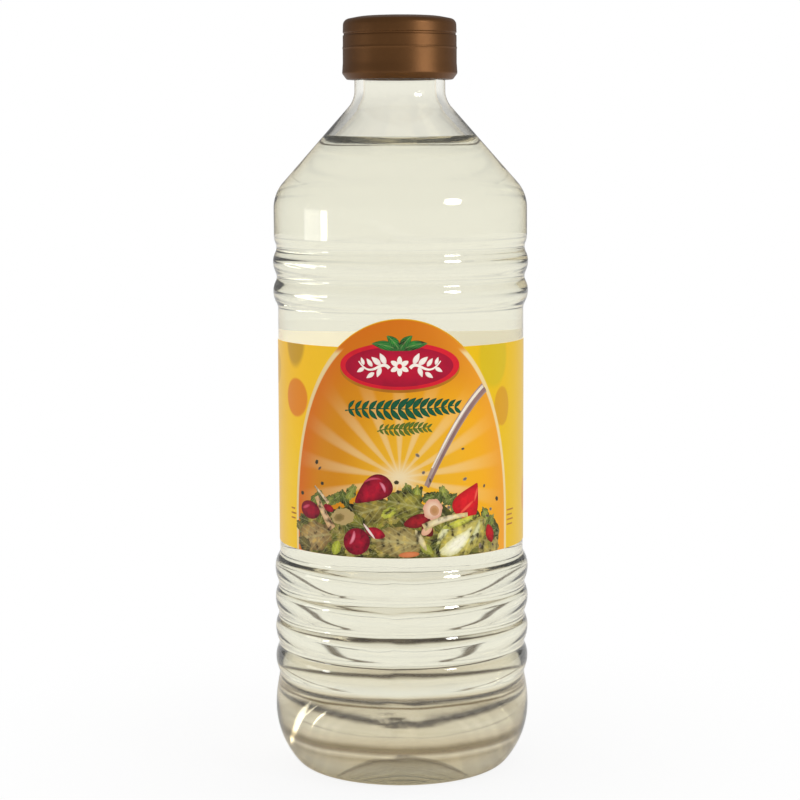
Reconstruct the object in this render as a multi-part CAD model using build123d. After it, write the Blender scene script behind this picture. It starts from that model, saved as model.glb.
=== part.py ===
from build123d import *
import os
from math import atan2, degrees, radians, tan

# A 500 ml bottle of white vinegar: a blow-moulded clear plastic bottle with ribs below and
# two rings above a recessed label panel, the vinegar in it, a wrap-around label and a screw cap.
# Millimetres. +Z is up, the origin is the centre of the foot, and the front faces -Y.

# Body, from the foot up
wall = 0.6
body_radius = 33.0  # plain wall under the shoulder
band_rise = 0.55  # the base band stands this far outside the plain wall
band_height = 16.0  # widest level of the base band
band_run = 8.8  # from there up to the lowest groove
heel_reach = 9.4  # the band overhangs the foot by this much
heel_round = 5.6
foot_width = 1.6  # flat ring that the bottle stands on
push_up = 5.0  # hollow of the base, at the axis

# Ribs below the label
rib_count = 4
rib_pitch = 8.0
rib_rise = 0.45
rib_depth = 0.85
rib_offset = 4.2  # from a groove up to the crest above it
rib_shoulder = 4.8  # from the last crest up to the panel

# Label panel and label
panel_height = 63.4
panel_recess = 0.9
label_thickness = 0.12
label_bottom_margin = 2.7
label_top_margin = 7.7
arch_margin = 0.4  # between the arch's tip and the top of the panel
arch_half_width = 31.0
arch_half_height = 51.2

# Rings above the label
ring_count = 2
ring_pitch = 7.6
ring_rise = 0.3
ring_depth = 0.9
ring_step = 4.6  # from the panel up to the first crest
ring_offset = 3.6  # from a crest up to the groove above it
ring_run_out = 2.9  # from the last groove up to the plain wall

# Shoulder and neck
plain_height = 11.1  # plain wall, up to where the shoulder's cone would meet it
shoulder_angle = 41.5  # between the cone and the axis
shoulder_round = 10.0
neck_round = 6.5
neck_radius = 11.75
neck_wall = 2.3
neck_length = 5.2  # from the cone up to the cap

# Neck finish, hidden in the cap
finish_rise = 0.7
bead_rise = 1.4
bead_height = 2.0

# Cap
cap_height = 16.5
cap_wall = 1.45
cap_top_wall = 1.5
cap_lip = 1.0  # thickness of the lip that is rolled in under the bead
cap_clearance = 0.3
cap_top_round = 2.2
cap_bottom_round = 1.9
cap_groove_drop = 4.9  # from the top down to the groove round the skirt
cap_groove_round = 0.3

ullage = 30.2  # from the rim down to the vinegar

# Levels and radii that follow from them
band_radius = body_radius + band_rise
foot_radius = band_radius - heel_reach
first_groove = band_height + band_run
last_crest = first_groove + (rib_count - 1) * rib_pitch + rib_offset
panel_bottom = last_crest + rib_shoulder
panel_top = panel_bottom + panel_height
panel_radius = body_radius - panel_recess
first_ring = panel_top + ring_step
last_ring_groove = first_ring + (ring_count - 1) * ring_pitch + ring_offset
plain_bottom = last_ring_groove + ring_run_out
shoulder_corner = plain_bottom + plain_height
neck_corner = shoulder_corner + (body_radius - neck_radius) / tan(radians(shoulder_angle))
cap_bottom = neck_corner + neck_length
cap_top = cap_bottom + cap_height
rim = cap_top - cap_top_wall
bead_bottom = cap_bottom + cap_lip + cap_clearance
bead_radius = neck_radius + bead_rise
bore_radius = neck_radius - neck_wall
fill_level = rim - ullage


def ogee(start, end, share, tangent):
    """Two arcs from start to end that both ends leave along the same line.

    They meet on the straight line between the ends, and share is the first arc's part of it.
    """
    start, end, tangent = Vector(start), Vector(end), Vector(tangent)
    middle = start + (end - start) * share
    return [TangentArc(start, middle, tangent=tangent), TangentArc(end, middle, tangent=-tangent)]


def upright_wall(turns):
    """A wavy wall through turning points (radius, height, roundness), upright at each."""
    edges = []
    for (r0, z0, round0), (r1, z1, round1) in zip(turns, turns[1:]):
        if r0 == r1:
            edges.append(Line((r0, z0), (r1, z1)))
        else:
            edges += ogee((r0, z0), (r1, z1), round0 / (round0 + round1), (0, 1))
    return edges


def base():
    """The hollow base, the flat foot and the heel up to the widest level, from the axis out."""
    foot_inner = foot_radius - foot_width
    reach = heel_reach - heel_round
    climb = band_height - heel_round
    side_round = (heel_reach**2 + climb**2 - heel_round**2) / (2 * reach)
    side_centre = (band_radius - side_round, band_height)
    lean = degrees(atan2(climb, foot_radius - side_centre[0]))
    return [
        *ogee((0, push_up), (foot_inner, 0), 0.8, (1, 0)),
        Line((foot_inner, 0), (foot_radius, 0)),
        CenterArc((foot_radius, heel_round), heel_round, -90, 90 - lean),
        CenterArc(side_centre, side_round, -lean, lean),
    ]


def ribbed_wall():
    """The wall from the base band up through ribs, label panel and rings to the plain wall."""
    rib_radius = body_radius + rib_rise
    ring_radius = body_radius + ring_rise
    turns = [(band_radius, band_height, 3)]
    for i in range(rib_count):
        groove = first_groove + i * rib_pitch
        turns.append((rib_radius - rib_depth, groove, 1))
        turns.append((rib_radius, groove + rib_offset, 2))
    turns += [(panel_radius, panel_bottom, 1), (panel_radius, panel_top, 1)]
    for i in range(ring_count):
        crest = first_ring + i * ring_pitch
        turns.append((ring_radius, crest, 2))
        turns.append((ring_radius - ring_depth, crest + ring_offset, 1))
    turns.append((body_radius, plain_bottom, 1))
    return upright_wall(turns)


def shoulder_and_finish():
    """The plain wall, the cone, the neck and the finish up to the rim, back to the axis."""
    finish_radius = neck_radius + finish_rise
    return FilletPolyline(
        (body_radius, plain_bottom),
        (body_radius, shoulder_corner),
        (neck_radius, neck_corner),
        (neck_radius, bead_bottom),
        (bead_radius, bead_bottom),
        (bead_radius, bead_bottom + bead_height),
        (finish_radius, bead_bottom + bead_height),
        (finish_radius, rim),
        (0, rim),
        radius=(shoulder_round, neck_round, 0, 0, 0, 0, 0),
    )


def revolved(section):
    """The solid that a section drawn as (radius, height) sweeps round the axis."""
    return revolve(Plane.XZ * section, axis=Axis.Z)


# The bottle's outer form, and the space inside it: the wall follows the body at one thickness,
# and is thick at the neck, from where it thins down the cone.
outline = [*base(), *ribbed_wall(), shoulder_and_finish(), Line((0, rim), (0, push_up))]
outer_section = make_face(outline)
whole_section = outer_section + mirror(outer_section, about=Plane.YZ)
body_space = offset(whole_section, amount=-wall) & Pos(body_radius, 0) * Rectangle(
    2 * body_radius, 2 * plain_bottom
)
inner_radius = body_radius - wall
lean_half = tan(radians(shoulder_angle / 2))
neck_outline = FilletPolyline(
    (0, plain_bottom),
    (inner_radius, plain_bottom),
    (inner_radius, shoulder_corner - wall * lean_half),
    (bore_radius, neck_corner - neck_wall * lean_half),
    (bore_radius, rim),
    (0, rim),
    radius=(0, shoulder_round - wall, neck_round + neck_wall, 0),
)
neck_space = make_face([neck_outline, Line((0, rim), (0, plain_bottom))])
space = revolved(body_space + neck_space)
bottle = revolved(outer_section) - space

# Vinegar up to its level.
vinegar = split(space, bisect_by=Plane.XY.offset(fill_level), keep=Keep.BOTTOM)

# Cap: a hollow shell with a lip rolled in under the bead, and a groove round the skirt.
cap_inner_radius = bead_radius + cap_clearance
cap_radius = cap_inner_radius + cap_wall
cap = Pos(0, 0, cap_bottom) * extrude(Circle(cap_radius), cap_height)
cap = fillet(cap.edges().group_by(Axis.Z)[-1], cap_top_round)
cap = fillet(cap.edges().group_by(Axis.Z)[0], cap_bottom_round)
cap -= Pos(0, 0, cap_bottom + cap_lip) * extrude(
    Circle(cap_inner_radius), cap_height - cap_lip - cap_top_wall
)
cap -= Pos(0, 0, cap_bottom) * extrude(Circle(neck_radius + cap_clearance), cap_lip)
cap -= Pos(0, 0, cap_top - cap_groove_drop) * Torus(cap_radius, cap_groove_round)

# Label: a thin band round the panel, straight along the top but for an arch at the front.
label_bottom = panel_bottom + label_bottom_margin
arch_top = panel_top - arch_margin
label_radius = panel_radius + label_thickness
band_section = Pos(0, 0, label_bottom) * extrude(
    Circle(label_radius) - Circle(panel_radius), arch_top - label_bottom
)
straight_part = Pos(0, 0, label_bottom) * extrude(
    Circle(body_radius), panel_top - label_top_margin - label_bottom
)
arch_outline = Pos(0, arch_top - arch_half_height) * Ellipse(arch_half_width, arch_half_height)
arch_part = extrude(Plane.XZ * arch_outline, body_radius)
label = band_section & (straight_part + arch_part)

os.makedirs("parts", exist_ok=True)
nodes = {"bottle": bottle, "vinegar": vinegar, "cap": cap, "label": label}
for name, solid in nodes.items():
    export_step(solid, f"parts/{name}.step")
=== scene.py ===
import math

import bpy
import numpy as np
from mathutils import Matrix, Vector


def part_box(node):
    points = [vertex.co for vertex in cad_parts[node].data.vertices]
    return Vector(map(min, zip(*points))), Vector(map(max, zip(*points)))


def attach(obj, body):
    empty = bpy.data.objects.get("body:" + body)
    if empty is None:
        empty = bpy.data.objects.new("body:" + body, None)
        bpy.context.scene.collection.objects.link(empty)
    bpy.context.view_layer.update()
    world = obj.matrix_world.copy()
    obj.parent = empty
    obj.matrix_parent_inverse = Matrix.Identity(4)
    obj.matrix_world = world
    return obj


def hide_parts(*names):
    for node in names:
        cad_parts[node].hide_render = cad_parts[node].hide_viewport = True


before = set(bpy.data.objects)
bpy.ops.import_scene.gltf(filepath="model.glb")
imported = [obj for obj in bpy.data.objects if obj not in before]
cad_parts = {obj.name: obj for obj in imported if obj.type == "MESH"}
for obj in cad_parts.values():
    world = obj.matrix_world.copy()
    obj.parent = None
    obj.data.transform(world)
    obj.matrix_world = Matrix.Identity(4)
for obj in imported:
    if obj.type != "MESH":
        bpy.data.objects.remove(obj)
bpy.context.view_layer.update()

# Sizes are in millimetres, and become metres as each mesh is made. The front faces -Y.
mm = 0.001


# Bottle. The shell is blown in one piece from clear plastic in a mould of two halves, so it has
# a fine parting line at front and back and a wall that wanders a little; the neck is pressed
# thick, and the base is pushed up so that it stands on a ring.
band_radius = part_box("bottle")[1].x / mm
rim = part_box("bottle")[1].z / mm
body_radius = band_radius - 0.55
band_height = 16  # widest level of the base band
foot_radius = 24.15
foot_width = 1.6
heel_round = 5.6
push_up = 5
wall = 0.6

rib_grooves = 24.8 + 8 * np.arange(4)  # levels of the grooves below the label
rib_rise = 0.45
rib_depth = 0.85
rib_offset = 4.2  # from a groove up to its crest
panel_radius = body_radius - 0.9
panel_bottom = 57.8
panel_top = 121.2
ring_crests = panel_top + 4.6 + 7.6 * np.arange(2)
ring_rise = 0.3
ring_depth = 0.9
ring_offset = 3.6  # from a crest up to the groove above it
plain_bottom = 139.9

shoulder_corner = 151
shoulder_round = 10
neck_radius = 11.75
neck_corner = 175.02
neck_round = 6.5
neck_wall = 2.3
bore_radius = neck_radius - neck_wall
bead_radius = neck_radius + 1.4
bead_bottom = 181.52
bead_top = bead_bottom + 2
finish_radius = neck_radius + 0.7
parting_angle = math.radians(-4)


def arc(start, end, tangent):
    """An arc from start to end that leaves along tangent. It turns by twice the angle between
    the tangent and the chord, and its radius is half the chord over the sine of that angle."""
    along = np.asarray(tangent, float) / np.linalg.norm(tangent)
    across = np.array([-along[1], along[0]])
    chord = np.subtract(end, start)
    half_turn = math.atan2(chord @ across, chord @ along)
    radius = np.linalg.norm(chord) / 2 / math.sin(half_turn)
    turn = np.linspace(0, 2 * half_turn, 40)[:, None]
    return start + radius * (np.sin(turn) * along + (1 - np.cos(turn)) * across)


def ogee(start, end, share, tangent):
    """Two arcs that leave both ends along tangent and meet on the straight line between them,
    where share is the first arc's part of that line."""
    start, end, tangent = (np.asarray(p, float) for p in (start, end, tangent))
    middle = start + share * (end - start)
    return np.vstack([arc(start, middle, tangent), arc(end, middle, -tangent)[::-1]])


def rounded(points, radii):
    """Straight runs through points with an arc at each corner between the ends. An arc begins
    before its corner by its radius times the tangent of half the turn."""
    points = np.asarray(points, float)
    path = [points[:1]]
    for before, corner, after, radius in zip(points, points[1:], points[2:], radii):
        run_in = (corner - before) / np.linalg.norm(corner - before)
        run_out = (after - corner) / np.linalg.norm(after - corner)
        cut = radius * math.tan(math.acos(np.clip(run_in @ run_out, -1, 1)) / 2)
        path.append(arc(corner - cut * run_in, corner + cut * run_out, run_in))
    return np.vstack([*path, points[-1:]])


def inset(path, depth):
    """A path moved to its left by depth, square to its own direction at each point."""
    along = np.gradient(path, axis=0)
    along /= np.linalg.norm(along, axis=1)[:, None]
    return path + depth * np.column_stack([-along[:, 1], along[:, 0]])


def merged(*paths):
    """Paths joined into one, without the points that repeat."""
    path = np.vstack(paths)
    apart = np.linalg.norm(np.diff(path, axis=0), axis=1) > 1e-6
    return path[np.concatenate([[True], apart])]


def spaced(path, step, bend):
    """A path redrawn with points at equal counts of length over step plus turning over bend
    (degrees), so that curves get more points than straight runs."""
    runs = np.diff(path, axis=0)
    heading = np.unwrap(np.arctan2(runs[:, 1], runs[:, 0]))
    turning = np.degrees(np.abs(np.diff(heading, prepend=heading[0])))
    count = np.concatenate([[0], np.cumsum(np.hypot(*runs.T) / step + turning / bend)])
    at = np.linspace(0, count[-1], math.ceil(count[-1]) + 1)
    return np.column_stack([np.interp(at, count, path[:, 0]), np.interp(at, count, path[:, 1])])


def wavy(turns):
    """A wall through turning points (radius, height, roundness), upright at each of them."""
    runs = []
    for (r0, z0, round0), (r1, z1, round1) in zip(turns, turns[1:]):
        if r0 == r1:
            runs.append(np.array([(r0, z0), (r1, z1)]))
        else:
            runs.append(ogee((r0, z0), (r1, z1), round0 / (round0 + round1), (0, 1)))
    return merged(*runs)


def base_outline():
    """The pushed-up base, the flat foot and the heel up to the base band, from the axis out.
    The arc of the side is the one upright at the band that touches the arc of the heel."""
    reach = band_radius - foot_radius - heel_round
    climb = band_height - heel_round
    side_round = ((reach + heel_round) ** 2 + climb**2 - heel_round**2) / (2 * reach)
    side_centre = np.array([band_radius - side_round, band_height])
    heel_centre = np.array([foot_radius, heel_round])
    away = (heel_centre - side_centre) / np.linalg.norm(heel_centre - side_centre)
    meeting = heel_centre + heel_round * away
    return merged(
        ogee((0, push_up), (foot_radius - foot_width, 0), 0.8, (1, 0)),
        arc((foot_radius, 0), meeting, (1, 0)),
        arc(meeting, (band_radius, band_height), (-away[1], away[0])),
    )


def wall_outline():
    """The side from the base band through the ribs, label panel and rings to the plain wall."""
    turns = [(band_radius, band_height, 3)]
    for groove in rib_grooves:
        turns.append((body_radius + rib_rise - rib_depth, groove, 0.8))
        turns.append((body_radius + rib_rise, groove + rib_offset, 2.4))
    turns += [(panel_radius, panel_bottom, 1), (panel_radius, panel_top, 1)]
    for crest in ring_crests:
        turns.append((body_radius + ring_rise, crest, 2))
        turns.append((body_radius + ring_rise - ring_depth, crest + ring_offset, 1))
    turns.append((body_radius, plain_bottom, 1))
    return wavy(turns)


neck_outline = rounded(
    [
        (body_radius, plain_bottom), (body_radius, shoulder_corner), (neck_radius, neck_corner),
        (neck_radius, bead_bottom), (bead_radius, bead_bottom), (bead_radius, bead_top),
        (finish_radius, bead_top), (finish_radius, rim), (bore_radius, rim), (bore_radius, rim - 1),
    ],
    (shoulder_round, neck_round, 0.2, 0.5, 0.5, 0.2, 0.5, 0.5),
)
lean_half = math.tan(math.atan2(body_radius - neck_radius, neck_corner - shoulder_corner) / 2)
neck_lining = rounded(
    [
        (body_radius - wall, plain_bottom),
        (body_radius - wall, shoulder_corner - wall * lean_half),
        (bore_radius, neck_corner - neck_wall * lean_half),
        (bore_radius, rim - 1),
    ],
    (shoulder_round - wall, neck_round + neck_wall),
)
body_outline = merged(base_outline(), wall_outline())
lining = spaced(merged(inset(body_outline, wall), neck_lining), 0.4, 2)
shell_path = spaced(merged(body_outline, neck_outline, lining[::-1]), 1.8, 6.2)


def all_round(count):
    """Angles at equal steps once round the axis."""
    return np.linspace(0, 2 * math.pi, count, endpoint=False)


near_line = np.radians([-1.2, -0.7, -0.45, -0.2, 0, 0.2, 0.45, 0.7, 1.2])
shell_angles = [all_round(120) + 0.03, near_line, near_line + math.pi]
shell_angles = np.sort(np.concatenate(shell_angles) + parting_angle)


def blown_share(height, radius):
    """1 on the blown wall, falling to 0 over 30 mm below the neck and 8 mm in the base."""
    return np.clip((neck_corner - height) / 30, 0, 1) * np.clip((radius - 20) / 8, 0, 1)


def wander(angle, height):
    """How far the blown wall strays from round, from 0 to -0.12 mm: the mean of five slow
    waves that run round and up the bottle."""
    rng = np.random.default_rng(3)
    total = 0
    for _ in range(5):
        round_it = rng.integers(1, 7)
        up = rng.uniform(-0.16, 0.16)
        total = total + np.sin(round_it * angle + up * height + rng.uniform(0, 2 * math.pi))
    return 0.12 * (total / 5 - 1) / 2


def shell_swell(angle, height, radius):
    """The shell's own unevenness, on the blown wall: it wanders, the parting line stands out as
    a ridge 0.6 mm wide and 0.04 mm high, and the plastic for 5 mm beside the line is left in
    slanting waves 0.045 mm deep."""
    off_line = np.arcsin(np.sin(angle - parting_angle)) * radius
    ridge = 0.04 * np.exp(-((off_line / 0.32) ** 2))
    flow = 0.045 * np.exp(-((off_line / 5) ** 2)) * np.sin(1.1 * height + 0.5 * off_line)
    return blown_share(height, radius) * (wander(angle, height) + ridge + flow)


def turned(path, angles, swell=None):
    """A closed surface of revolution from a path of (radius, height) that starts and ends on
    the axis. A point lies at x = r sin a and y = -r cos a, with r the path's radius plus the
    swell there, and the two ends are single poles. Gives the points and the faces."""
    radius = path[1:-1, :1] + 0 * angles
    height = path[1:-1, 1:] + 0 * angles
    if swell is not None:
        radius = radius + swell(angles[None, :], height, radius)
    rings = np.stack([radius * np.sin(angles), -radius * np.cos(angles), height], axis=2)
    poles = [(0, 0, path[0, 1]), (0, 0, path[-1, 1])]
    corner = np.arange(radius.size).reshape(radius.shape)
    right = np.roll(corner, -1, axis=1)
    quads = np.stack([corner[:-1], right[:-1], right[1:], corner[1:]], axis=2).reshape(-1, 4)
    first, last = np.full(len(angles), radius.size), np.full(len(angles), radius.size + 1)
    first_fan = np.column_stack([first, right[0], corner[0]])
    last_fan = np.column_stack([corner[-1], right[-1], last])
    return np.vstack([rings.reshape(-1, 3), poles]), [quads, first_fan, last_fan]


def placed(name, data):
    """A new object of that data in the scene."""
    made = bpy.data.objects.new(name, data)
    bpy.context.scene.collection.objects.link(made)
    return made


def piece(name, points, faces, *materials):
    """A mesh object at the origin, smooth except over edges sharper than 40 degrees."""
    mesh = bpy.data.meshes.new(name)
    mesh.from_pydata((points * mm).tolist(), [], [f for group in faces for f in group.tolist()])
    mesh.shade_smooth()
    mesh.set_sharp_from_angle(angle=math.radians(40))
    for material in materials:
        mesh.materials.append(material)
    return placed(name, mesh)


def linear(code):
    """An sRGB hex colour as linear red, green, blue and an alpha of 1."""
    value = np.array([int(code[i : i + 2], 16) for i in (1, 3, 5)]) / 255
    value = np.where(value <= 0.04045, value / 12.92, ((value + 0.055) / 1.055) ** 2.4)
    return (*value.tolist(), 1)


def new_tree(name):
    """A new material and its empty node tree."""
    material = bpy.data.materials.new(name)
    material.use_nodes = True
    material.node_tree.nodes.clear()
    return material, material.node_tree


def add(tree, kind, inputs=(), **settings):
    """A shader node of that kind with its settings. Its inputs, in their own order or by name
    or number, get values, hex colours, or links from sockets or other nodes' first outputs."""
    made = tree.nodes.new("ShaderNode" + kind)
    for name, value in settings.items():
        setattr(made, name, value)
    for name, value in inputs.items() if isinstance(inputs, dict) else enumerate(inputs):
        if isinstance(value, str):
            value = linear(value)
        if isinstance(value, bpy.types.Node):
            value = value.outputs[0]
        if isinstance(value, bpy.types.NodeSocket):
            tree.links.new(value, made.inputs[name])
        else:
            made.inputs[name].default_value = value
    return made


def laid_over(tree, base, top, *shares, **settings):
    """One colour laid over another: (1 - s) base + s top, with s the product of the shares."""
    share = shares[0]
    for other in shares[1:]:
        share = add(tree, "Math", (share, other), operation="MULTIPLY")
    inputs = {0: share, 6: base, 7: top}
    return add(tree, "Mix", inputs, data_type="RGBA", **settings).outputs[2]


def clear_surface(tree, inputs, tint):
    """Ends a clear material: it bends all rays but those towards lamps, which pass straight
    through with a tint."""
    clear = add(tree, "BsdfPrincipled", {"Transmission Weight": 1, **inputs})
    passing = add(tree, "BsdfTransparent", {"Color": tint})
    to_lamp = add(tree, "LightPath").outputs["Is Shadow Ray"]
    surface = add(tree, "MixShader", (to_lamp, clear, passing))
    add(tree, "OutputMaterial", {"Surface": surface})


# Clear blow-moulded plastic, as of PET or PVC: glossy, a little warm in tint, more so seen edge
# on, with a slow ripple that bends what shows through. Painted shade by height makes the base
# and heel browner in faint dark rings, with a thin dark ring at the step.
clear_plastic, tree = new_tree("blown_clear_plastic")
place = add(tree, "TexCoord").outputs["Object"]
ripple = add(tree, "TexNoise", {"Vector": place, "Scale": 70, "Detail": 2})
ripple_bump = add(tree, "Bump", {"Strength": 0.35, "Distance": 0.00012, "Height": ripple})
height = add(tree, "SeparateXYZ", {0: place}).outputs["Z"]
uneven = add(tree, "Math", (ripple, 0.0008, height), operation="MULTIPLY_ADD")
painted_shade_reach = 25  # the tint is told by height up to this level
rising = add(tree, "Math", (uneven, 1 / (painted_shade_reach * mm)), operation="MULTIPLY")
# Painted shade: these stops paint the base and heel browner in faint dark rings, with a thin dark
# ring at 22.6 mm.
painted_shade_ramp = add(tree, "ValToRGB", {"Fac": rising})
painted_shade_stops = painted_shade_ramp.color_ramp.elements
for level, code in (
    (5.5, "#e9e3d4"), (7.4, "#dfd7c5"), (8.6, "#cbc1ab"), (9.8, "#efe9dc"),
    (10.9, "#a2957e"), (12, "#a0947c"), (13.4, "#e4dccb"), (16, "#f3f0e4"),
    (22.2, "#f7f6ee"), (22.6, "#968870"), (23, "#f7f6ee"),
):
    painted_shade_stops.new(level / painted_shade_reach).color = linear(code)
painted_shade_stops[0].color, painted_shade_stops[-1].color = linear("#e8dec2"), linear("#f7f6ee")
facing = add(tree, "LayerWeight", {"Blend": 0.5}).outputs["Facing"]
smooth = {"interpolation_type": "SMOOTHSTEP"}  # for shares that start and end gently
edge_on = add(tree, "MapRange", {"Value": facing, "From Min": 0.6, "From Max": 0.92}, **smooth)
shade_and_edge_tint = laid_over(tree, painted_shade_ramp, "#f0dcba", edge_on)
inputs = {"Base Color": shade_and_edge_tint, "Roughness": 0.03, "IOR": 1.55, "Normal": ripple_bump}
clear_surface(tree, inputs, "#e8e4dc")

bottle = piece("bottle_shell", *turned(shell_path, shell_angles, shell_swell), clear_plastic)
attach(bottle, "root")
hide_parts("bottle")


# Vinegar. A clear liquid with hardly any tint, up to its level in the shoulder. It wets the
# plastic and climbs it in a meniscus; its skin lies just inside the wall, so no air shows.
fill_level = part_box("vinegar")[1].z / mm
skin_depth = 0.15  # how far the liquid's skin reaches into the wall
climb = 0.25  # how high the liquid's edge stands above its level
climb_run = 0.3  # distance over which the meniscus falls away

skin = inset(lining, -skin_depth)
wet = skin[skin[:, 1] < fill_level + climb]
edge_radius = wet[-1, 0]
surface_radius = edge_radius - climb_run * np.linspace(0, 6, 33)[1:]
surface = np.column_stack(
    [surface_radius, fill_level + climb * np.exp((surface_radius - edge_radius) / climb_run)]
)
vinegar_path = spaced(merged(wet, surface, [(0, fill_level)]), 1.8, 6.2)


def skin_swell(angle, height, radius):
    """The lining's unevenness, of which the liquid takes the shape: the wall's wander."""
    return blown_share(height, radius) * wander(angle, height)


vinegar_liquid, tree = new_tree("white_vinegar")
clear_surface(tree, {"Base Color": "#fdfdf8", "Roughness": 0, "IOR": 1.34}, "#fbfaf4")

liquid_body = turned(vinegar_path, all_round(128), skin_swell)
vinegar = piece("vinegar_fill", *liquid_body, vinegar_liquid)
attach(vinegar, "root")
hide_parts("vinegar")


# Cap. A screw cap of bronze-brown plastic with metal flake in it, moulded with a satin skin.
# A fine groove and a low step run round the skirt, which swells above its rolled-in lip.
cap_low, cap_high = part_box("cap")
cap_radius = cap_high.x / mm
cap_bottom = cap_low.z / mm
cap_top = cap_high.z / mm
cap_inner = 13.45
cap_lip_radius = neck_radius + 0.3
groove_level = cap_top - 4.9
step_level = cap_top - 8.4

skirt = [  # how deep the cap's outside lies at each level
    (1.15, cap_bottom), (0, cap_bottom + 1.55), (0.02, cap_bottom + 2.2), (0.17, cap_bottom + 4.2),
    (0.17, step_level - 0.35), (0.07, step_level), (0.2, step_level + 0.35),
    (0.2, groove_level - 0.35), (0.42, groove_level - 0.2), (0.42, groove_level + 0.2),
    (0.2, groove_level + 0.4), (0.3, cap_top - 1.2), (4.6, cap_top - 0.35),
]
cap_path = rounded(
    [
        (0, rim + 0.05), (cap_inner, rim + 0.05), (cap_inner, cap_bottom + 1),
        (cap_lip_radius, cap_bottom + 1), (cap_lip_radius, cap_bottom),
        *[(cap_radius - depth, level) for depth, level in skirt],
        (0, cap_top),
    ],
    (0.3, 0.2, 0.2, 0.2, 0.5, 0.6, 0.4, 2, 0.2, 0.2, 0.2, 0.2, 0.08, 0.08, 0.1, 1.7, 14),
)

cap_plastic, tree = new_tree("satin_bronze_plastic")
place = add(tree, "TexCoord").outputs["Object"]
flake = add(tree, "TexNoise", {"Vector": place, "Scale": 2500, "Detail": 2})
cloud = add(tree, "TexNoise", {"Vector": place, "Scale": 130, "Detail": 3})
cap_colour = laid_over(tree, "#5e3d1e", "#704a26", cloud)
cap_rough = add(tree, "MapRange", {"Value": flake, "To Min": 0.34, "To Max": 0.46})
cap_bump = add(tree, "Bump", {"Strength": 0.25, "Distance": 0.00003, "Height": flake})
inputs = {"Base Color": cap_colour, "Metallic": 0.75, "Roughness": cap_rough, "Normal": cap_bump}
add(tree, "OutputMaterial", {"Surface": add(tree, "BsdfPrincipled", inputs)})

cap = piece("screw_cap", *turned(spaced(cap_path, 0.7, 8), all_round(128)), cap_plastic)
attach(cap, "root")
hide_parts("cap")


# Label. A strip of glossy film, printed on its face and white behind, glued round the panel
# with its ends lapped at the back. Its top edge is straight but for an arch at the front.
label_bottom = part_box("label")[0].z / mm
label_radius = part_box("label")[1].x / mm
film_face = label_radius - 0.07
film_back = panel_radius - 0.05
straight_top = panel_top - 7.7 - label_bottom
arch_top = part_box("label")[1].z / mm - label_bottom
arch_half_width = 31.9
arch_half_height = 51.2
arch_centre = arch_top - arch_half_height
half_girth = math.pi * label_radius
lap = 4
lap_lift = 0.11  # how far the outer end stands off where it laps over the inner one
lap_run = 6  # length over which it rises to that


def bent(u, v, radius):
    """Points of the flat print, u along it from the front and v up from the label's bottom
    edge, wrapped round the bottle at a radius: the angle is u over the label's radius."""
    angle = u / label_radius
    return np.stack([radius * np.sin(angle), -radius * np.cos(angle), v + label_bottom], axis=-1)


def thin_sheets(u, v, back, face):
    """Closed thin sheets on the label from stacks of grids u and v of shape (sheets, rows,
    columns). Each has the grid at the radius face, the same grid turned over at the radius
    back, and a wall between their borders. Gives points, face quads, back and wall quads."""
    sheets, rows, columns = u.shape
    points = np.stack([bent(u, v, face), bent(u, v, back)], axis=1)
    corner = np.arange(2 * u.size).reshape(sheets, 2, rows, columns)
    front, rear = corner[:, 0], corner[:, 1]
    quads = np.stack(
        [front[:, :-1, :-1], front[:, :-1, 1:], front[:, 1:, 1:], front[:, 1:, :-1]], axis=-1
    )
    turned_over = quads[..., ::-1] + rows * columns
    border = [
        np.concatenate([g[:, 0, :-1], g[:, :-1, -1], g[:, -1, :0:-1], g[:, :0:-1, 0]], axis=1)
        for g in (front, rear)
    ]
    ahead = [np.roll(b, -1, axis=1) for b in border]
    walls = np.stack([border[0], border[1], ahead[1], ahead[0]], axis=-1)
    behind = np.vstack([turned_over.reshape(-1, 4), walls.reshape(-1, 4)])
    return points.reshape(-1, 3), quads.reshape(-1, 4), behind


def add_map(made, name, pairs):
    """A UV map of that name from one pair of numbers for each vertex."""
    mesh = made.data
    vertex = np.zeros(len(mesh.loops), np.int32)
    mesh.loops.foreach_get("vertex_index", vertex)
    layer = mesh.uv_layers.new(name=name)
    layer.uv.foreach_set("vector", pairs.reshape(-1, 2)[vertex].astype(np.float32).ravel())


arch_foot = arch_half_width * math.sqrt(1 - ((straight_top - arch_centre) / arch_half_height) ** 2)
evenly = np.linspace(-half_girth - lap, half_girth + lap, 420)
strip_u = np.sort(np.concatenate([evenly, [-arch_foot, arch_foot]]))
arch_share = np.sqrt(np.clip(1 - (strip_u / arch_half_width) ** 2, 0, 1))
arch_height = arch_centre + arch_half_height * arch_share
strip_top = np.where(np.abs(strip_u) < arch_foot, arch_height, straight_top)
rise = np.linspace(0, 1, 56)[:, None]
strip_u, strip_v = strip_u[None, :] + 0 * rise, rise * strip_top[None, :]
lift = lap_lift * np.clip((strip_u - half_girth + lap + lap_run) / lap_run, 0, 1)

points, outside, inside = thin_sheets(
    strip_u[None], strip_v[None], film_back + lift[None], film_face + lift[None]
)

# Printed film: smooth plastic film with ink under a clear gloss, so colours are full and the
# lamps show in it. The print is fields of yellow and orange with a sun's rays behind.
printed_film, tree = new_tree("printed_gloss_film")
uv = add(tree, "UVMap", uv_map="print")
sun = (-0.4, 20.6)


def oval_share(tree, uv, centre, size, inner, outer):
    """1 inside an oval and 0 outside it, with a smooth edge: the distance from the centre in
    units of its half width and half height, from inner to outer."""
    moved = add(tree, "VectorMath", (uv, (*centre, 0)), operation="SUBTRACT")
    scaled = add(tree, "VectorMath", (moved, (*size, 1)), operation="DIVIDE")
    distance = add(tree, "VectorMath", {0: scaled}, operation="LENGTH").outputs["Value"]
    inputs = {"Value": distance, "From Min": inner, "From Max": outer, "To Min": 1, "To Max": 0}
    return add(tree, "MapRange", inputs, **smooth)


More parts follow.
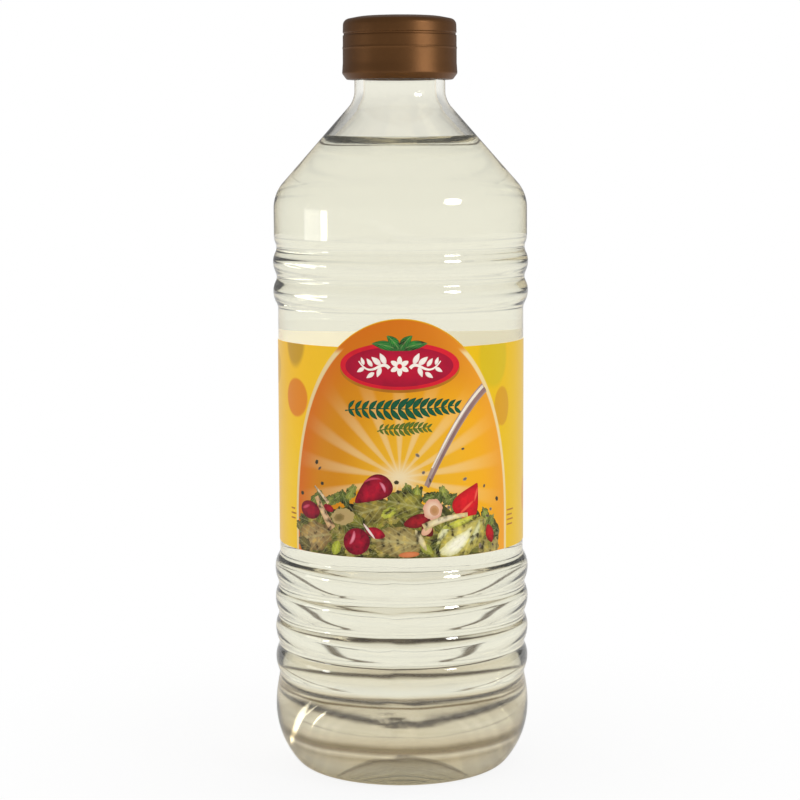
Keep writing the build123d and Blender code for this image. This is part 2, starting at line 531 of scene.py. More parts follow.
def fade(tree, uv, way, low, high):
    """A share that grows from 0 to 1 across the print: the place's dot product with a
    direction, from low to high."""
    reach = add(tree, "VectorMath", (uv, (*way, 0)), operation="DOT_PRODUCT")
    inputs = {"Value": reach.outputs["Value"], "From Min": low, "From Max": high}
    return add(tree, "MapRange", inputs, **smooth)


# The side fields: yellow, warmer to the left, with large soft ovals.
sides = laid_over(tree, "#ffc81a", "#ecc002", fade(tree, uv, (1, 0), -34, 6))
side_ovals = [
    ("#ffd01e", (-33, 8), (10, 30), 0.3, 1.2), ("#cf9f24", (-32, 54), (5, 8), 0.7, 1),
    ("#ea8a18", (-31.5, 39.2), (5.2, 5.3), 0.85, 1), ("#dba016", (29.8, 37), (3.4, 5.4), 0.85, 1),
    ("#dabc12", (26.5, 50), (6, 9), 0.75, 1),
]
for k, u in enumerate(np.linspace(46, 156, 11)):
    centre = (u if u < half_girth else u - 2 * half_girth, 12 + 17 * (2 * k % 3))
    code = ("#e29a14", "#e8b41a", "#f0d83c")[k % 3]
    side_ovals.append((code, centre, (3 + 2 * (k % 3), 5 + 3 * (k % 2)), 0.8, 1))
for code, *place in side_ovals:
    sides = laid_over(tree, sides, code, oval_share(tree, uv, *place))

# The arch: orange at the top and the edges, golden inside, with a sun's broad pale rays.
arch_fill = laid_over(tree, "#d78908", "#f6b00e", fade(tree, uv, (1, 0), -20, 16))
arch_fill = laid_over(tree, arch_fill, "#d27806", fade(tree, uv, (0, 1), 34, 56))
edge_glow = oval_share(tree, uv, (0, 9), (31.9, 60), 0.66, 1)
edge_colour = laid_over(tree, "#dc6a06", "#f0a024", fade(tree, uv, (1, 0), -4, 26))
arch_fill = laid_over(tree, edge_colour, arch_fill, edge_glow)
sun_glow = oval_share(tree, uv, (3, 24), (22, 20), 0.1, 1)
arch_fill = laid_over(tree, arch_fill, "#eeb424", sun_glow)
from_sun = add(tree, "VectorMath", (uv, (*sun, 0)), operation="SUBTRACT")
sun_parts = add(tree, "SeparateXYZ", {0: from_sun}).outputs
sun_sides = (sun_parts["X"], sun_parts["Y"])
ray_angle = add(tree, "Math", sun_sides, operation="ARCTAN2")
rays_round = 360 / 20.8
ray_phase = add(tree, "Math", (ray_angle, rays_round), operation="MULTIPLY")
ray_wave = add(tree, "Math", {0: ray_phase}, operation="COSINE")
inputs = {"Value": ray_wave, "From Min": -0.15, "From Max": 0.9, "To Max": 0.5}
ray_share = add(tree, "MapRange", inputs, **smooth)
ray_reach = oval_share(tree, uv, sun, (30, 27), 0.3, 1.1)
arch_fill = laid_over(tree, arch_fill, "#f3d8a2", ray_share, ray_reach)
arch_fill = laid_over(tree, arch_fill, "#f2ddb0", oval_share(tree, uv, sun, (8, 5), 0, 1))

# The arch's outline, with a cream border below the straight top edge.
split = add(tree, "SeparateXYZ", {0: uv}).outputs
above = add(tree, "Math", (split["Y"], arch_centre), operation="MAXIMUM")
arch_point = add(tree, "CombineXYZ", (split["X"], above))
arch_size = (arch_half_width, arch_half_height)
in_border = oval_share(tree, arch_point, (0, arch_centre), arch_size, 0.992, 1)
in_arch = oval_share(tree, arch_point, (0, arch_centre), arch_size, 0.962, 0.972)
below_top = fade(tree, uv, (0, -1), -54, -51)
above_top = fade(tree, uv, (0, 1), 51, 53)
print_colour = laid_over(tree, sides, "#f0d79c", in_border, below_top)
print_colour = laid_over(tree, print_colour, arch_fill, in_arch)
print_colour = laid_over(tree, print_colour, arch_fill, in_border, above_top)

place = add(tree, "TexCoord").outputs["Object"]
mottle = add(tree, "TexNoise", {"Vector": place, "Scale": 260, "Detail": 3})
mottle_share = add(tree, "MapRange", {"Value": mottle, "To Max": 0.1})
print_colour = laid_over(tree, print_colour, "#c9861c", mottle_share)
creases = add(tree, "TexNoise", {"Vector": place, "Scale": 45, "Detail": 2})
film_bump = add(tree, "Bump", {"Strength": 0.2, "Distance": 0.0002, "Height": creases})
gloss = {
    "Roughness": 0.3, "Specular IOR Level": 0.2, "Coat Weight": 0.06, "Coat Roughness": 0.08,
}
inputs = {"Base Color": print_colour, "Normal": film_bump, **gloss}
add(tree, "OutputMaterial", {"Surface": add(tree, "BsdfPrincipled", inputs)})

# The film's unprinted side: matt white polypropylene, seen through the bottle, with a painted
# glow: it gives off a little light of its own, standing in for light from behind it.
film_white, tree = new_tree("unprinted_white_film")
place = add(tree, "TexCoord").outputs["Object"]
glue = add(tree, "TexNoise", {"Vector": place, "Scale": 90, "Detail": 4})
inputs = {
    "Base Color": laid_over(tree, "#efe9dc", "#f7f4ec", glue), "Roughness": 0.6,
    # Painted glow, standing in for light shining through the film from behind.
    "Emission Color": "#f6f1e4", "Emission Strength": 0.7,
}
add(tree, "OutputMaterial", {"Surface": add(tree, "BsdfPrincipled", inputs)})

label = piece("printed_label", points, [outside, inside], printed_film, film_white)
sides_of = np.repeat([0, 1], [len(outside), len(inside)])
label.data.polygons.foreach_set("material_index", sides_of)
flat = np.stack([strip_u, strip_v], axis=-1)
add_map(label, "print", np.concatenate([flat.reshape(-1, 2)] * 2))
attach(label, "root")
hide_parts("label")


# The print's shapes. Inks laid on the film in layers: each is a sheet of ink a few hundredths
# of a millimetre thick that follows the bottle. Its outline is an oval that can be pointed,
# tapered, bowed and frilled, or a ribbon along a path.
ink_layer = 0.006
ink_root = 0.02  # how far the ink reaches into the film


def oval(u, v, half_length, half_width, turn, layer, ink, rim, **more):
    """The values of one oval: its place on the print, half sizes, turn in degrees, layer, and
    the colours of its middle and its edge. More are the bends that ovals knows."""
    size = (half_length, half_width)
    return dict(at=(u, v), size=size, turn=turn, layer=layer, ink=ink, rim=rim, **more)


def ribbon(path, start, end, layer, ink, rim=None):
    """The values of one ribbon: its path, first and last width, layer and colours."""
    return dict(path=path, width=(start, end), layer=layer, ink=ink, rim=rim)


def ovals(shapes, count):
    """Grids u and v for a list of shapes. A square grid is drawn into a disc by x = X sqrt(1 -
    Y^2 / 2) and y = Y sqrt(1 - X^2 / 2). The disc's y is narrowed towards +x by taper and at
    both ends by point, the edge ripples by frill in a number of lobes, the shape bows as x^2,
    and it is scaled to its half length and half width, turned and moved to its place. What
    would pass the label's cut edge is squeezed above it by v' = (v + sqrt(v^2 + 0.1)) / 2."""
    across = np.linspace(-1, 1, count)
    square_y, square_x = np.meshgrid(across, across, indexing="ij")
    disc_x = square_x * np.sqrt(1 - square_y**2 / 2)
    disc_y = square_y * np.sqrt(1 - square_x**2 / 2)
    value = dict(turn=0, taper=0, point=0, bow=0, frill=0, lobes=7, phase=0)
    for name, usual in value.items():
        own = [shape.get(name, usual) for shape in shapes]
        value[name] = np.array(own, float)[:, None, None]
    centre = np.array([shape["at"] for shape in shapes], float)[:, :, None, None]
    half = np.array([shape["size"] for shape in shapes], float)[:, :, None, None]
    reach = np.hypot(disc_x, disc_y)
    angle = np.arctan2(disc_y, disc_x)
    lobes, phase = value["lobes"], value["phase"]
    wave = np.sin(lobes * angle + phase) + 0.6 * np.sin((2 * lobes + 3) * angle + 2.3 * phase)
    ripple = 1 + value["frill"] * wave * reach**2
    narrow = (1 - value["taper"] * disc_x) * (1 - value["point"] * disc_x**2)
    x = disc_x * ripple * half[:, 0]
    y = disc_y * ripple * narrow * half[:, 1] + value["bow"] * (disc_x**2 - 0.4) * half[:, 0]
    turn = np.radians(value["turn"])
    u = centre[:, 0] + x * np.cos(turn) - y * np.sin(turn)
    v = centre[:, 1] + x * np.sin(turn) + y * np.cos(turn)
    v = (v + np.sqrt(v**2 + 0.1)) / 2
    return u, v, np.broadcast_to(disc_x, u.shape), np.broadcast_to(disc_y, u.shape)


def ribbons(shapes, count):
    """Grids u and v for shapes that are ribbons: a smooth curve through the path's points, as
    Bernstein sums of them, moved to both sides by half a width that goes from the first to
    the last of two widths."""
    along = np.linspace(0, 1, count)
    across = np.linspace(-1, 1, count)
    grids = []
    for shape in shapes:
        path = np.array(shape["path"], float)
        degree = len(path) - 1
        shares = [
            math.comb(degree, k) * along**k * (1 - along) ** (degree - k)
            for k in range(degree + 1)
        ]
        line = np.stack(shares, axis=1) @ path
        heading = np.gradient(line, axis=0)
        heading /= np.linalg.norm(heading, axis=1)[:, None]
        half = (shape["width"][0] * (1 - along) + shape["width"][1] * along) / 2
        side = np.column_stack([-heading[:, 1], heading[:, 0]]) * half[:, None]
        grids.append(line[None] + across[:, None, None] * side[None])
    grids = np.array(grids)
    x, y = (np.broadcast_to(own, grids.shape[:3]) for own in np.meshgrid(2 * along - 1, across))
    return grids[..., 0], grids[..., 1], x, y


def inked(name, shapes, material, draw=ovals, count=17):
    """One piece from a list of shapes: their sheets at their layers, a UV map "blade" with each
    shape's own x and y, and two colours for each shape, "ink" in its middle and "rim" at its
    edge."""
    u, v, x, y = draw(shapes, count)
    layer = np.array([shape["layer"] for shape in shapes], float)[:, None, None]
    top = film_face + ink_layer * layer + 0 * u
    points, outside, inside = thin_sheets(u, v, film_face - ink_root + 0 * u, top)
    made = piece(name, points, [outside, inside], material)
    add_map(made, "blade", np.stack([np.stack([x, y], axis=-1)] * 2, axis=1))
    for attribute in ("ink", "rim"):
        colours = [linear(shape[attribute] or shape["ink"]) for shape in shapes]
        spread = np.repeat(np.array(colours, np.float32), 2 * count * count, axis=0)
        layer_made = made.data.color_attributes.new(attribute, "FLOAT_COLOR", "POINT")
        layer_made.data.foreach_set("color", spread.ravel())
    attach(made, "root")


def ink_material(name, grain, contrast, vein=0):
    """Ink of a printed picture: each shape's two colours, blended from middle to edge, with
    light and dark of that grain in millimetres, and pale veins that slant off a midrib."""
    material, tree = new_tree(name)
    middle = add(tree, "Attribute", attribute_name="ink")
    edge = add(tree, "Attribute", attribute_name="rim")
    blade = add(tree, "UVMap", uv_map="blade")
    reach = add(tree, "VectorMath", {0: blade}, operation="LENGTH").outputs["Value"]
    edging = add(tree, "MapRange", {"Value": reach, "From Min": 0.4, "From Max": 1})
    colour = laid_over(tree, middle, edge, edging)
    place = add(tree, "TexCoord").outputs["Object"]
    waves = {"Vector": place, "Scale": 1 / (grain * mm), "Detail": 3}
    folds = add(tree, "TexNoise", waves)
    for end, shade, blending in ((0.72, "#fff3c4", "SOFT_LIGHT"), (0.28, "#3a2c14", "MULTIPLY")):
        inputs = {"Value": folds, "From Min": 0.5, "From Max": end, "To Max": contrast}
        share = add(tree, "MapRange", inputs, **smooth)
        colour = laid_over(tree, colour, shade, share, blend_type=blending)
    if vein:
        parts = add(tree, "SeparateXYZ", {0: blade}).outputs
        off = add(tree, "Math", {0: parts["Y"]}, operation="ABSOLUTE")
        slant = add(tree, "Math", (off, 1.1, parts["X"]), operation="MULTIPLY_ADD")
        turns = add(tree, "Math", (slant, 13), operation="MULTIPLY")
        wave = add(tree, "Math", {0: turns}, operation="SINE")
        for value, start, end in ((wave, 0.75, 1), (off, 0.12, 0.03)):
            inputs = {"Value": value, "From Min": start, "From Max": end, "To Max": vein}
            share = add(tree, "MapRange", inputs, **smooth)
            colour = laid_over(tree, colour, "#d9d394", share)
    inputs = {"Base Color": colour, **gloss}
    add(tree, "OutputMaterial", {"Surface": add(tree, "BsdfPrincipled", inputs)})
    return material


# Medallion. A crimson oval with a lighter red rim and a soft brown shade under it, in solid
# inks that show hardly any grain.
plain_ink = ink_material("gloss_ink", 3, 0.12)
medal_u, medal_v = -0.3, 48.45
medallion = [
    oval(medal_u, medal_v - 0.75, 15.6, 5.9, 0, 1, "#8e5410", "#b87414"),
    oval(medal_u, medal_v, 15.5, 5.95, 0, 2, "#e0202c", "#d8162c"),
    oval(medal_u - 0.1, medal_v - 0.1, 13.9, 5, 0, 3, "#bc0830", "#a80430"),
]
inked("print_medallion", medallion, plain_ink, count=33)


# Crown leaves. Four green leaves fan out over the medallion's top, two to each side, in inks
# with the light, dark and veins of a printed picture of leaves.
leaf_ink = ink_material("leaf_print_ink", 1.7, 0.95, 0.22)
crown_root_v = 52.6
crown = []
for side in (-1, 1):
    for reach, lean, length in ((3.6, 14, 3.5), (2.2, 50, 2.5)):
        u = medal_u + side * reach * math.cos(math.radians(lean))
        v = crown_root_v + reach * math.sin(math.radians(lean))
        turn = lean if side > 0 else 180 - lean
        more = dict(point=0.6, bow=-0.12 * side)
        crown.append(oval(u, v, length, 1.15, turn, 4, "#1d7a2c", "#0e5c26", **more))
inked("print_crown_leaves", crown, leaf_ink)


# Scrolls and petals. A white flower stands in the medallion between two curling stems with
# small white leaves, printed over the red.
white_ink = "#fbf2e6"
scrolls, petals = [], []
for side in (-1, 1):
    curl = [(2.6, -0.5), (4.6, 2.2), (6.4, -2.6), (8.6, -1.4), (10.4, 1.2)]
    path = [(medal_u + side * u, medal_v + v) for u, v in curl]
    scrolls.append(ribbon(path, 0.85, 0.3, 4, white_ink))
    for u, v, turn, length in (
        (4.2, 1.9, 62, 1.5), (5.9, 1.3, 40, 1.5), (5.2, -1.5, -70, 1.3), (7.6, 0.9, 55, 1.2),
        (7.4, -2.3, -35, 1.2), (9.4, 1.2, 70, 1), (9.9, -1, -30, 1.1),
    ):
        at = (medal_u + side * u, medal_v + v)
        turn = turn if side > 0 else 180 - turn
        more = dict(point=0.4, taper=0.3)
        petals.append(oval(*at, length, 0.46 * length, turn, 4.4, white_ink, "#f3e2da", **more))
for turn in range(30, 390, 60):
    lean = math.radians(turn)
    u, v = medal_u + 1.35 * math.cos(lean), medal_v + 1.35 * math.sin(lean)
    petals.append(oval(u, v, 1.15, 0.62, turn, 4.6, white_ink, None, point=0.25))
petals.append(oval(medal_u, medal_v, 0.6, 0.6, 0, 5, "#d8162c", None))
inked("print_white_scrolls", scrolls, plain_ink, ribbons, count=25)
inked("print_white_petals", petals, plain_ink)


# Sprigs. A long dark green one and a small olive one under it: leaves in pairs that lean off
# a stem, which waves a little, in solid inks.
sprig_leaves, sprig_stems = [], []
for (middle_u, middle_v), half_length, leaf_length, spacing, ink, rim in (
    ((0.1, 37.8), 14.6, 2, 1.75, "#0f5a3a", "#0a4a34"),
    ((0.6, 32.8), 6.6, 1.25, 1.2, "#5f7426", "#4f6420"),
):
    third = half_length / 3
    stem = [(-half_length, -0.7), (-third, 1.1), (third, -1.1), (half_length, 0.7)]
    path = [(middle_u + u, middle_v + v) for u, v in stem]
    sprig_stems.append(ribbon(path, 0.34, 0.24, 2, ink))
    steps = int(2 * half_length / spacing)
    for k in range(steps):
        share = (k + 0.5) / steps
        stem_u = middle_u - half_length + 2 * half_length * share
        stem_v = middle_v - 0.3 * math.sin(2 * math.pi * share)
        length = leaf_length * (1 - 0.35 * abs(2 * share - 1))
        for side in (-1, 1):
            turn = side * (52 - 12 * share)
            lean = math.radians(turn)
            at = (stem_u + length * math.cos(lean), stem_v + length * math.sin(lean))
            more = dict(point=0.45, taper=0.25, bow=-0.1 * side)
            sprig_leaves.append(oval(*at, length, length * 0.36, turn, 3, ink, rim, **more))
inked("print_sprig_stems", sprig_stems, plain_ink, ribbons)
inked("print_sprig_leaves", sprig_leaves, plain_ink)


# Fork handle. A steel handle that comes down into the salad, narrower towards its end, bright
# along its left edge and shaded along its right.
handle = [(22.9, 42.3), (17.6, 38.6), (13.4, 32.4), (10.6, 27), (8.2, 22.4), (6.4, 18.2)]
shaded = [(u + 0.32, v - 0.28) for u, v in handle]
bright = [(u - 0.42, v + 0.36) for u, v in handle[:-1]]
handle_inks = [
    ribbon(handle, 2.7, 1.35, 4, "#bfaca2", "#a58c84"),
    ribbon(shaded, 1.1, 0.6, 5, "#8a6a68", "#957470"),
    ribbon(bright, 0.8, 0.35, 5, "#f6ecdc", "#eee0cc"),
]
inked("print_fork_handle", handle_inks, plain_ink, ribbons, count=25)


# Salad bed. Dark olive shade with small ruffled leaves strewn over it at random, and a fringe
# of greener leaf tips along its top edge.
rng = np.random.default_rng(11)
greens = ("#767429", "#8a8137", "#676426", "#9a8c45", "#545820", "#8d7c3c", "#a29050", "#44481a")
bed = [
    oval(u, v, a, b, 0, 0.6, "#55531f", "#46461b", frill=0.03)
    for u, v, a, b in (
        (-26.6, 5, 4, 5.6), (-20, 5.6, 6.5, 6.4), (-11, 6.4, 7, 7.4),
        (-2, 7, 7.5, 8), (7.5, 6.4, 7.5, 7.4), (16.5, 5.6, 6.8, 7), (23.6, 4.4, 5, 5),
        (-15.5, 2.2, 6, 3.2), (2.6, 2.2, 6.5, 3.2), (12, 2.2, 6, 3.2), (21.5, 1.6, 6, 2.6),
        (-26.5, 1.8, 3.9, 2.6), (-20.5, 1.2, 4.5, 2.2), (-7, 1.2, 5, 2.2), (7.2, 1.2, 4.5, 2.2),
        (16.8, 1.2, 4.5, 2.2),
    )
]
bed_left, bed_width, bed_leaves = -30, 57, 96
for k in range(bed_leaves):
    u = bed_left + bed_width * (k + rng.uniform(0.1, 0.9)) / bed_leaves
    top = 13.2 + 2.4 * math.sin(0.42 * u + 1) - 0.012 * (u + 2) ** 2 * (1 if u > 8 else 0.35)
    v = rng.uniform(1, max(top - 1, 3))
    length = rng.uniform(1.5, 2.7)
    ink = greens[int(rng.integers(len(greens)))]
    width = length * rng.uniform(0.5, 0.8)
    turn = rng.uniform(0, 360)
    lobes = int(rng.integers(5, 9))
    phase = rng.uniform(0, 6)
    rim = greens[int(rng.integers(len(greens)))]
    more = dict(frill=0.09, lobes=lobes, phase=phase, taper=0.2)
    bed.append(oval(u, v, length, width, turn, 1 + (k % 3) * 0.4, ink, rim, **more))
fringe = [
    (-24.5, 13.2), (-22.3, 14.4), (-19.8, 13.6), (-17.4, 14.6), (-14.9, 14.8), (-13, 16.4),
    (-1.4, 15.4), (1.6, 16.8), (4, 16.2), (7.2, 15.4), (9.2, 14.6), (10.9, 16), (12.6, 14.6),
    (14.4, 13.2), (23.4, 9.6), (24.9, 7.6), (25.6, 5), (26.4, 2.6),
]
for k, (u, v) in enumerate(fringe):
    ink = ("#68762c", "#4a5a22", "#85903c")[k % 3]
    rim = ("#44501e", "#72793a")[k % 2]
    turn = 65 + 50 * math.sin(1.9 * k)
    more = dict(frill=0.1, lobes=6, phase=k, point=0.3)
    bed.append(oval(u, v, 2.3, 1.35, turn, 1.2, ink, rim, **more))
inked("print_salad_bed", bed, leaf_ink)


# Salad leaves. Larger ruffled leaves of lettuce, olive to khaki, laid over the bed.
leaves = [
    oval(-8, 12, 5, 3.7, 18, 3, "#8d7f3c", "#6f682c", frill=0.05, lobes=6, phase=1, taper=-0.15),
    oval(1, 13.7, 4.7, 3.5, -12, 3.3, "#948c3e", "#656628", frill=0.07, lobes=7, phase=2),
    oval(-3.2, 11.6, 2, 1.2, 30, 3.6, "#c3c444", "#a0a43c", frill=0.06),
    oval(-0.4, 4.2, 6.4, 3.9, -4, 3, "#ad9a60", "#857340", frill=0.05, lobes=8, phase=3),
    oval(-24.6, 4.2, 5.9, 3.8, 12, 3.3, "#a88c5c", "#7c643a", frill=0.06, lobes=7, phase=4),
    oval(-17.4, 2, 2, 1.4, 70, 3.6, "#b9bf3a", "#9aa02c", point=0.4),
    oval(6.3, 2.3, 2, 1.2, -40, 3, "#a9ac40", "#888a34", point=0.3),
    oval(-28.3, 1.9, 2.6, 1.7, -20, 3.3, "#6e6230", "#50482a", frill=0.08),
    oval(-11.6, 9.3, 2.8, 1.8, -35, 3.6, "#77752e", "#4f5220", frill=0.08),
    oval(10, 3.9, 2.6, 1.8, 50, 3, "#565a22", "#3c4018", frill=0.08),
]
inked("print_salad_leaves", leaves, leaf_ink, count=25)


# Endive. A pale yellow-green leaf at the right with an almost white heart, and thin pale ribs
# beside it.
endive = [
    oval(16.6, 4.6, 7.6, 4.4, 30, 4, "#cbbd66", "#9c9040", frill=0.04, lobes=6, phase=1, taper=0.1),
    oval(
        14.6, 3.5, 5.6, 2, 34, 5, "#fbf6dc", "#d6d08e",
        frill=0.05, lobes=5, taper=0.35, point=0.35, bow=0.16,
    ),
    oval(11, 6.2, 3.4, 1, 52, 4.9, "#e2dfae", "#b4b05c", frill=0.06, point=0.3, bow=-0.15),
    oval(19.9, 5.6, 3.6, 0.9, 58, 5.4, "#d6d4a0", "#b7b36a", bow=0.2, point=0.3),
    oval(15.8, 8.6, 5.4, 0.9, 14, 5.2, "#c9c84a", "#a8a838", point=0.3),
    oval(4.9, 4.6, 3.1, 0.75, -62, 4.6, "#d7c89c", "#bfae78", point=0.3),
]
inked("print_endive", endive, leaf_ink, count=25)


# Radish and pepper. Dark crimson radishes and a bright red wedge of pepper, in inks with a
# coarse, soft mottle.
fruit_ink = ink_material("radish_print_ink", 1.6, 0.5)
reds = [
    oval(-7.4, 17, 5.4, 2.9, 30, 4, "#a80c2c", "#6e081e", taper=-0.55, bow=-0.12),
    oval(-26, 10.9, 3.5, 2.3, -6, 4, "#9c0e2c", "#720c22"),
    oval(-19.6, 12, 1.6, 0.9, -20, 4.2, "#b01428", "#8a1020"),
    oval(-11.6, 4, 3.6, 3.4, 20, 4.5, "#a40c2c", "#7a0822"),
    oval(-6.6, 6.4, 2.6, 1.4, -18, 4.3, "#b4142c", "#8c1024", point=0.3),
    oval(4.2, 9.5, 3.7, 1.7, 14, 4, "#a01822", "#6e1018", point=0.3),
    oval(6.6, 7, 1.9, 1.4, -50, 4, "#7c1c14", "#5a120e", point=0.3),
    oval(18, 14, 4.9, 3.3, 58, 4, "#dc1420", "#b40c18", taper=0.72),
    oval(24.9, 4.8, 2.5, 1.4, -72, 5.8, "#c4141c", "#981018", point=0.3),
]
inked("print_radish_and_pepper", reds, fruit_ink, count=21)


# Onion and prawn. An onion slice, a prawn's curl and a slip of carrot, with the pale glints on
# the radishes and the pepper.
pales = [
    oval(-15.4, 10.1, 3.3, 2.1, 8, 4.5, "#bb9f68", "#b8a068", frill=0.05),
    oval(-16.4, 9.8, 1.6, 1, 14, 5, "#84703c", "#a08650", frill=0.06),
    oval(8, 12.3, 2.5, 2.7, 0, 4.6, "#efcdb0", "#dca084", frill=0.04),
    oval(8.4, 12, 1.2, 1.35, 20, 5.2, "#b98654", "#d09a72"),
    oval(6.4, 7, 1.6, 1, 40, 4.8, "#eab896", "#dca484"),
    oval(1.9, 0.95, 2.6, 0.75, 4, 5, "#dc8250", "#c8703c"),
    oval(-4.6, 18.1, 1.5, 0.45, -62, 5, "#e08a9c", "#b83450", bow=-0.2),
    oval(-7.4, 19.9, 2.3, 0.32, 12, 5, "#cc4c64", "#a82444", bow=-0.25),
    oval(-12.6, 4.9, 1.9, 0.5, 70, 5.5, "#e88a9a", "#c24058", bow=0.2),
    oval(-8.2, 6.8, 2.4, 0.32, -52, 5.7, "#f4e2dc", "#e8c0b8"),
    oval(17.4, 12.3, 2.6, 0.4, 36, 5, "#f05a48", "#e03428"),
    oval(20.2, 15.3, 1.9, 0.35, 74, 5, "#f0604c", "#e03428"),
    oval(-27.4, 11.6, 1.5, 0.45, 20, 5, "#d05068", "#b02440"),
]
inked("print_onion_and_prawn", pales, plain_ink)


# Stalks. Pale celery stalks that stick out of the salad.
stalks = [
    ribbon([(-23.6, 14.6), (-21.6, 11), (-18.4, 6.8)], 1.3, 2.2, 4.7, "#e4bc92", "#cfa274"),
    ribbon([(5.6, 7.7), (10, 10.2), (17.6, 10.4)], 2, 1, 5.6, "#e8d8b4", "#c8b07c"),
    ribbon([(-24.2, 17.2), (-21.8, 15.4), (-19.6, 13.2)], 0.5, 0.9, 4.7, "#ead2ae", "#d8b88c"),
]
inked("print_stalks", stalks, leaf_ink, ribbons)


# Peppercorns. Crushed pepper thrown about over the salad and the sun's rays.
corns = [
    (-1.2, 19.3), (5.6, 21.7), (7.3, 19.6), (5, 17.8), (16.8, 19.5), (22.9, 17.2), (27.6, 13.4),
    (25.2, 11), (-22.4, 21.9), (-21.6, 18.1), (4.1, 26.1), (16.2, 27.2), (-23.4, 23.4),
    (12.2, 12.6), (24, 9.4), (-0.8, 16.9), (21.5, 2), (26, 1.8), (-29, 14.9),
]
peppercorns = []
for k, (u, v) in enumerate(corns):
    ink = ("#3a3420", "#6d6256", "#55473a")[k % 3]
    rim = ("#5d5236", "#a18f78", "#7a6a54")[k % 3]
    a, b = 0.62 - 0.16 * (k % 2), 0.5 - 0.1 * (k % 3)
    peppercorns.append(oval(u, v, a, b, 50 * k, 6, ink, rim, frill=0.06, lobes=5))
inked("print_peppercorns", peppercorns, plain_ink, count=9)


# Rules. Short brown bars in rows on the side fields, and two columns of broken bars at the
# back, where such a label carries its small print.
rules = []
for left, top, lengths in ((32.2, 9.8, (3.6, 2.8, 3.4, 3)), (-34.6, 10.4, (2, 2.6, 2.2))):
    for k, length in enumerate(lengths):
        v = top - 1.25 * k
        rules.append(ribbon([(left, v), (left + length, v)], 0.42, 0.42, 2, "#b0701c", "#c48426"))
word_lengths = (4.6, 2.4, 5.4, 3.2, 1.8, 4, 2.8, 5)
for row in range(16):
    for side in (-1, 1):
        left = side * 78 - 16
        v = 44 - 2.2 * row
        words = 7 - (row % 4 == 3) - 3 * (row == 15)
        for k in range(words):
            length = word_lengths[(3 * row + 5 * k + side) % 8]
            rules.append(ribbon([(left, v), (left + length, v)], 0.6, 0.6, 2, "#9c5c1c"))
            left += length + 0.9
inked("print_rules", rules, plain_ink, ribbons, count=9)


# Floor, light and camera. A pale floor that runs out to white, soft light from all round, a
# small lamp high on the right, a strip lamp and a dim panel on the left, and a camera a little
# above the bottle's middle.
ring_radii = np.array([0.02, 0.05, 0.1, 0.2, 0.4, 0.8, 1.5, 3]) / mm
floor_level, floor_bottom = -0.02, -0.5
rings = np.column_stack([ring_radii, 0 * ring_radii + floor_level])
floor_path = np.vstack([[(0, floor_level)], rings, [(0, floor_bottom)]])
floor_white, tree = new_tree("pale_floor")
place = add(tree, "TexCoord").outputs["Object"]
distance = add(tree, "VectorMath", {0: place}, operation="LENGTH").outputs["Value"]
matt = add(tree, "BsdfDiffuse", {"Color": "#e9e9e9"})
glow = add(tree, "Emission", {"Color": "#ffffff"})
rays = add(tree, "LightPath").outputs
inputs = {"Value": distance, "From Max": 0.16, "To Min": 0.87}
outward = add(tree, "MapRange", inputs, **smooth)

# Through the bottle the floor shows painted dark rings at these distances in metres, painted
# shade that only rays through the bottle see; they draw the dark lines in the ribs and the base.
painted_ring_ramp = add(tree, "ValToRGB", {"Fac": distance})
painted_ring_stops = painted_ring_ramp.color_ramp.elements
painted_ring_stops[0].position, painted_ring_stops[0].color = 0.05, linear("#f1ede4")
painted_ring_stops[1].position, painted_ring_stops[1].color = 0.4, linear("#ffffff")
for at, code in (
    (0.074, "#f1ede4"), (0.077, "#46392a"), (0.082, "#46392a"), (0.086, "#b9b3a6"),
    (0.09, "#f4f1ea"), (0.14, "#ffffff"), (0.243, "#ffffff"), (0.25, "#594b38"),
    (0.266, "#594b38"), (0.273, "#ffffff"),
):
    painted_ring_stops.new(at).color = linear(code)
painted_ring_glow = add(tree, "Emission", {"Color": painted_ring_ramp})


def seen_through(tree, rays):
    """1 for what the eye sees through clear pieces and 0 for the rest: transmission rays that
    have met no matt surface on their way, so of a diffuse depth under a half."""
    inputs = (rays["Diffuse Depth"], 0.5)
    direct = add(tree, "Math", inputs, operation="LESS_THAN")
    inputs = (rays["Is Transmission Ray"], direct)
    return add(tree, "Math", inputs, operation="MULTIPLY")


through = seen_through(tree, rays)
floor_mix = add(tree, "MixShader", (through, matt, painted_ring_glow))
inputs = (rays["Is Camera Ray"], outward)
glow_share = add(tree, "Math", inputs, operation="MULTIPLY")
floor_mix = add(tree, "MixShader", (glow_share, floor_mix, glow))
add(tree, "OutputMaterial", {"Surface": floor_mix})
floor = piece("floor", *turned(floor_path[::-1], all_round(64)), floor_white)

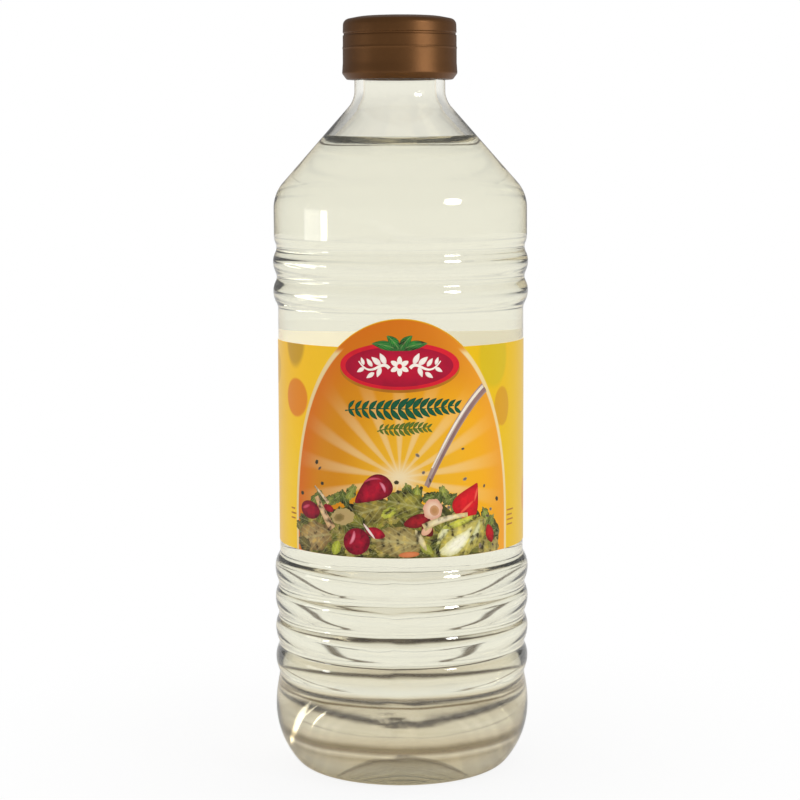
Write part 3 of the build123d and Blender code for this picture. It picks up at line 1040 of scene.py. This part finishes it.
# Light from all round: soft on matt surfaces, dim in the gloss, a pale tent that darkens
# upwards where it is seen through the bottle, and plain white to the camera.
world = bpy.data.worlds.new("soft_studio")
bpy.context.scene.world = world
world.use_nodes = True
tree = world.node_tree
tree.nodes.clear()
way = add(tree, "TexCoord").outputs["Generated"]
height_of = add(tree, "SeparateXYZ", {0: way}).outputs["Z"]
inputs = {"Value": height_of, "From Min": 0.08, "From Max": 0.35, "To Min": 1, "To Max": 0.68}
surround = add(tree, "MapRange", inputs, **smooth)
rays = add(tree, "LightPath").outputs
soft, tent, plain, mirrored = (
    add(tree, "Background", {"Color": "#ffffff", "Strength": strength})
    for strength in (0.86, surround, 1, 0.3)
)
through = seen_through(tree, rays)
shown = soft
for share, light in (
    (rays["Is Glossy Ray"], mirrored),
    (through, tent),
    (rays["Is Camera Ray"], plain),
):
    shown = add(tree, "MixShader", (share, shown, light))
add(tree, "OutputWorld", {"Surface": shown})


def lamp(name, azimuth, elevation, distance, width, height, aim, power, shape="RECTANGLE"):
    """A soft lamp that faces the bottle's axis at the height aim, at an azimuth from the front
    (positive to the right), an elevation and a distance in metres."""
    light = bpy.data.lights.new(name, "AREA")
    light.shape = shape
    light.size, light.size_y, light.energy = width, height, power
    made = placed(name, light)
    a, e = math.radians(azimuth), math.radians(elevation)
    away = np.array([math.sin(a) * math.cos(e), -math.cos(a) * math.cos(e), math.sin(e)])
    made.location = np.array([0, 0, aim]) + distance * away
    made.rotation_euler = (math.radians(90) - e, 0, a)
    return made


lamp("soft_lamp_right", 50, 26, 0.9, 0.25, 0.2, 0.128, 1.6, "ELLIPSE")
lamp("strip_lamp_left", -71, 0, 0.7, 0.085, 0.09, 0.122, 0.13)
lamp("dim_panel_left", -85, 0, 0.7, 0.24, 0.1, 0.122, 0.09)

# The panel lights only the cap, so that the clear wall keeps its few small highlights.
panel = lamp("tall_panel_right", 52, 0, 0.9, 0.55, 0.4, 0.18, 2.25)
lit_by_panel = bpy.data.collections.new("lit_by_panel")
lit_by_panel.objects.link(cap)
panel.light_linking.receiver_collection = lit_by_panel

camera = bpy.data.cameras.new("camera")
camera.sensor_width = 36
camera.lens = 101.84
camera_object = placed("camera", camera)
camera_object.location = (0, -0.591, 0.166)
camera_object.rotation_euler = (math.radians(90 - 6.68), math.radians(0.21), 0)
bpy.context.scene.camera = camera_object
bpy.context.scene.view_settings.view_transform = "Standard"
